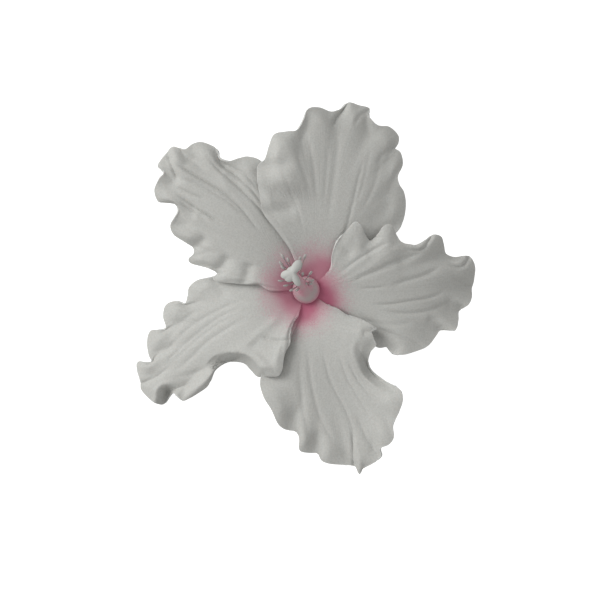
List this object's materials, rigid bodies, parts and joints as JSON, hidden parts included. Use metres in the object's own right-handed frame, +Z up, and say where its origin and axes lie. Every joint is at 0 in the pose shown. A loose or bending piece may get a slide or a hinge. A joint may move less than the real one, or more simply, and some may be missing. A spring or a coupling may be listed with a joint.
{
  "type": "hibiscus flower",
  "caption": "Open hibiscus bloom lying face up on its calyx: frilled petals lapping round a staminal column with a lobed stigma, over a green calyx and epicalyx.",
  "frame": {"origin": "on the flower's axis, at the flat underside of the receptacle, which is the surface that the flower rests on", "axes": "+Z up out of the face of the bloom, +Y towards the top petal's side, along the bloom's longest extent, +X towards the right petal"},
  "size_m": [0.1093, 0.1187, 0.0322],
  "materials": {
    "petal": "matte, faintly translucent, with a raspberry blush at the throat",
    "column": "satin, translucent",
    "stigma": "matte",
    "sepal": "matte"
  },
  "bodies": {
    "root": {"petal_top": "petal", "petal_right": "petal", "petal_bottom": "petal", "petal_lower_left": "petal", "petal_upper_left": "petal", "staminal_column": "column", "stigma": "stigma", "calyx": "sepal", "epicalyx": "sepal"}
  },
  "joints": []
}
